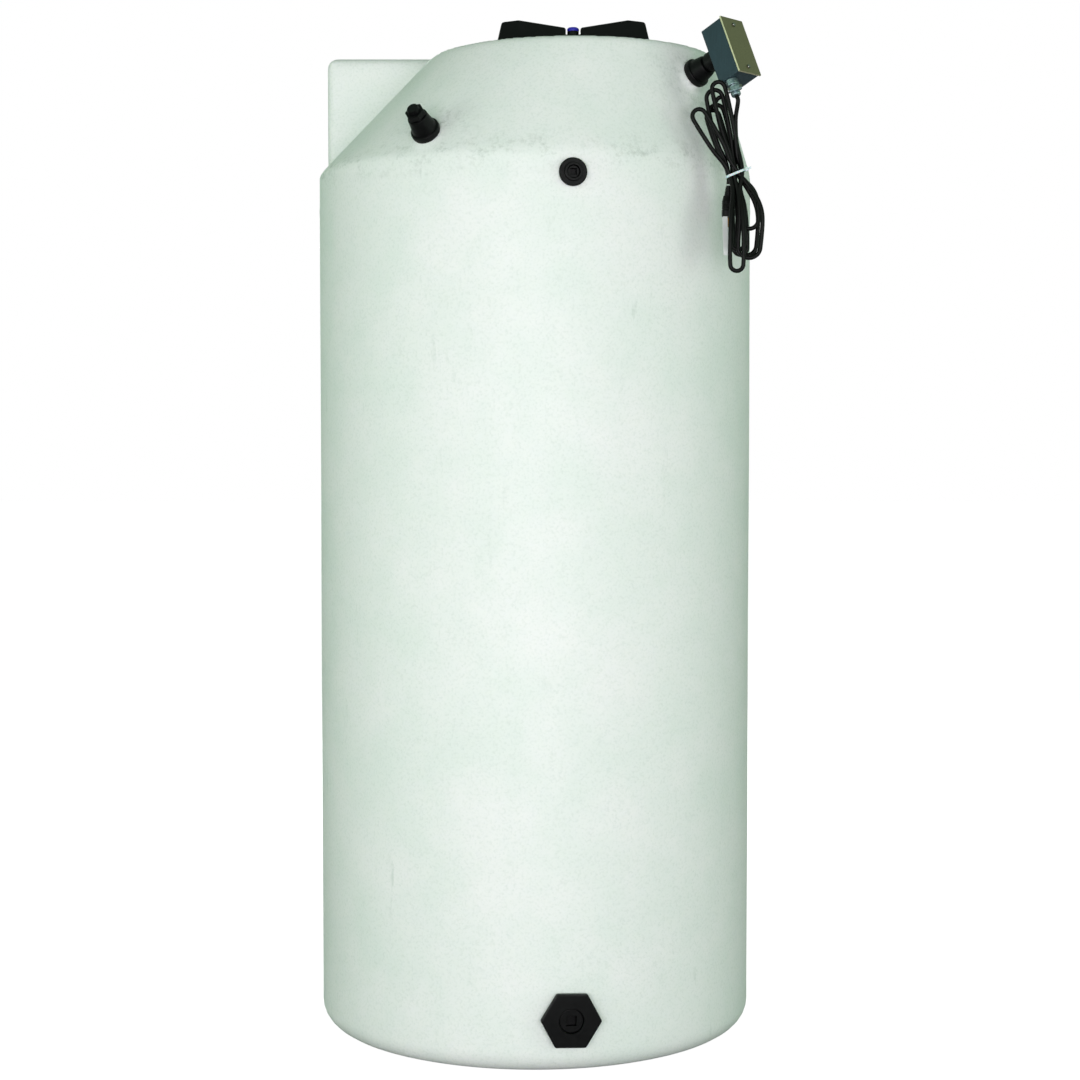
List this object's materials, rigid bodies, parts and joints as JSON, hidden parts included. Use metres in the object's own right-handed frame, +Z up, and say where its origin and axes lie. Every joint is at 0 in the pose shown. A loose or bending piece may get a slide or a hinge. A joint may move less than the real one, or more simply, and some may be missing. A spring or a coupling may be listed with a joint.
{
  "type": "bulk milk tank",
  "caption": "Upright moulded polyethylene milk tank with a leaning shoulder, raised deck, screw manway lid, bulkhead fittings, and a corded immersion heater with its junction box.",
  "frame": {"origin": "centre of the tank's flat base", "axes": "+Z up along the tank's axis; -Y is the front, where the outlet and the small port are; +X is the side of the junction box"},
  "size_m": [0.9, 0.9212, 2.0851],
  "materials": {
    "polyethylene": "natural rotomoulded polyethylene, milky white",
    "black_plastic": "moulded black polypropylene",
    "blue_plastic": "dark blue moulding",
    "rubber": "black seal rubber",
    "box_paint": "dark blue-grey steel",
    "brushed_cover": "brushed",
    "zinc": "zinc plated",
    "stainless": "stainless steel",
    "cord_jacket": "black cord jacket",
    "nylon": "white cable tie",
    "brass": "plug blades",
    "tag": "blank white tag"
  },
  "bodies": {
    "tank": {"tank_shell": "polyethylene", "manway_ring": "black_plastic", "manway_ring_screw_1": "stainless", "manway_ring_screw_2": "stainless", "manway_ring_screw_3": "stainless", "manway_ring_screw_4": "stainless", "manway_ring_screw_5": "stainless", "manway_ring_screw_6": "stainless", "manway_ring_screw_7": "stainless", "manway_ring_screw_8": "stainless", "outlet_body": "black_plastic", "outlet_gasket": "rubber", "outlet_nut": "black_plastic", "front_port_body": "black_plastic", "front_port_gasket": "rubber", "front_port_nut": "black_plastic", "shoulder_port_body": "black_plastic", "shoulder_port_gasket": "rubber", "shoulder_port_nut": "black_plastic", "heater_port_body": "black_plastic", "heater_port_gasket": "rubber", "heater_port_nut": "black_plastic", "heater_bushing": "black_plastic", "heater_nipple": "zinc", "box_locknut": "zinc", "junction_box": "box_paint", "box_cover": "brushed_cover", "cover_screw_1": "stainless", "cover_screw_2": "stainless", "thermostat": "black_plastic", "cord_connector": "zinc", "connector_locknut": "zinc", "clamp_bar": "zinc", "clamp_screw_1": "stainless", "clamp_screw_2": "stainless", "heater_riser": "stainless", "element_head": "stainless", "heater_element": "stainless", "cord_lead": "cord_jacket", "cord_hank": "cord_jacket", "cord_tie": "nylon", "cord_plug": "black_plastic", "plug_blade_1": "brass", "plug_blade_2": "brass", "plug_ground_pin": "brass", "cord_tag": "tag"},
    "lid_seal": {"lid_gasket": "rubber"},
    "lid": {"manway_lid": "black_plastic", "vent_body": "black_plastic"},
    "vent_cap": {"vent_cap": "blue_plastic"},
    "outlet_plug": {"outlet_plug": "black_plastic"},
    "front_port_plug": {"front_port_plug": "black_plastic"},
    "shoulder_port_plug": {"shoulder_port_plug": "black_plastic"}
  },
  "joints": [
    {"name": "lid_lift", "type": "slide", "parent": "tank", "child": "lid_seal", "axis": [0, 0, 1], "range_m": [0, 0.0241]},
    {"name": "lid_turn", "type": "hinge", "parent": "lid_seal", "child": "lid", "pos_m": [0.079, -0.05, 2.004], "axis": [0, 0, 1], "range_deg": [0, 720]},
    {"name": "vent_cap_lift", "type": "slide", "parent": "lid", "child": "vent_cap", "axis": [0, 0, 1], "range_m": [0, 0.005]},
    {"name": "outlet_plug_turn", "type": "hinge", "parent": "tank", "child": "outlet_plug", "pos_m": [0.06884, -0.4447, 0.109], "axis": [0.153, -0.9882, 0], "range_deg": [0, 360]},
    {"name": "front_port_plug_turn", "type": "hinge", "parent": "tank", "child": "front_port_plug", "pos_m": [0.07195, -0.44421, 1.728], "axis": [0.1599, -0.9871, 0], "range_deg": [0, 360]},
    {"name": "shoulder_port_plug_turn", "type": "hinge", "parent": "tank", "child": "shoulder_port_plug", "pos_m": [-0.2063, -0.3741, 1.8117], "axis": [-0.359, -0.7479, 0.5584], "range_deg": [0, 360]}
  ],
  "couplings": [
    {"joint": "lid_lift", "follows": "lid_turn", "m_per_rad": 0.0019099}
  ]
}
